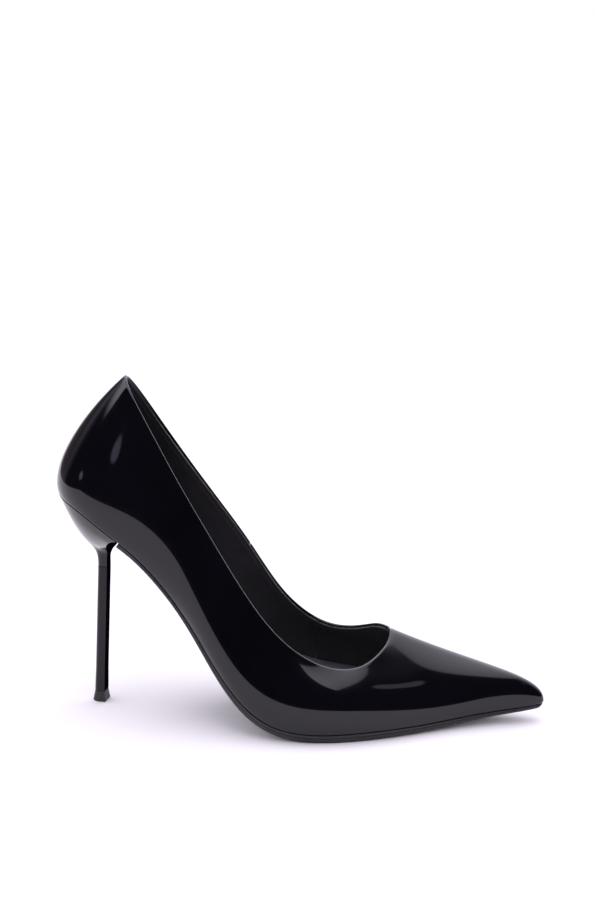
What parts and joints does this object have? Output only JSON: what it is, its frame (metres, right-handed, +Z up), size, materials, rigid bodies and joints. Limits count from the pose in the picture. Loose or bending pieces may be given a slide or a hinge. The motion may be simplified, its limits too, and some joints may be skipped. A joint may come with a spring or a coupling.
{
  "type": "high heel pump",
  "caption": "Pointed patent high heel pump with a slim straight stiletto heel, low cut topline and thin sole, right foot.",
  "frame": {"origin": "middle of the shoe's box at floor level", "axes": "+X from heel to toe, +Y towards the inner (big toe) side, +Z up"},
  "size_m": [0.2288, 0.0798, 0.1615],
  "materials": {
    "patent": "black patent, mirror gloss",
    "lining": "matt black lining leather",
    "stiffener": "thermoplastic stiffener, off-white",
    "textile": "bonded cotton, natural",
    "board": "cellulose insole board",
    "cork": "ground cork filler",
    "foam": "cushion foam",
    "sock": "dark grey grained sock",
    "sole": "black polished sole edge",
    "heel_plastic": "black moulded plastic",
    "stem": "dark satin lacquer",
    "top_piece": "hard black rubber",
    "steel": "bright steel"
  },
  "bodies": {
    "root": {"vamp": "patent", "inside_quarter": "patent", "heel_cover": "patent", "topline_tape": "textile", "toe_puff": "stiffener", "heel_counter": "stiffener", "outside_backer": "textile", "inside_backer": "textile", "vamp_lining": "lining", "quarter_lining": "lining", "insole_board": "board", "sock_foam": "foam", "sock": "sock", "steel_shank": "steel", "shank_rivet_front": "steel", "shank_rivet_rear": "steel", "bottom_filler": "cork", "outsole": "sole", "heel_block": "heel_plastic", "heel_stem": "stem", "heel_dowel": "steel", "top_piece": "top_piece", "top_piece_pin": "steel", "heel_nail_1": "steel", "heel_nail_2": "steel", "heel_nail_3": "steel", "heel_nail_4": "steel", "heel_nail_5": "steel", "heel_screw": "steel"}
  },
  "joints": []
}
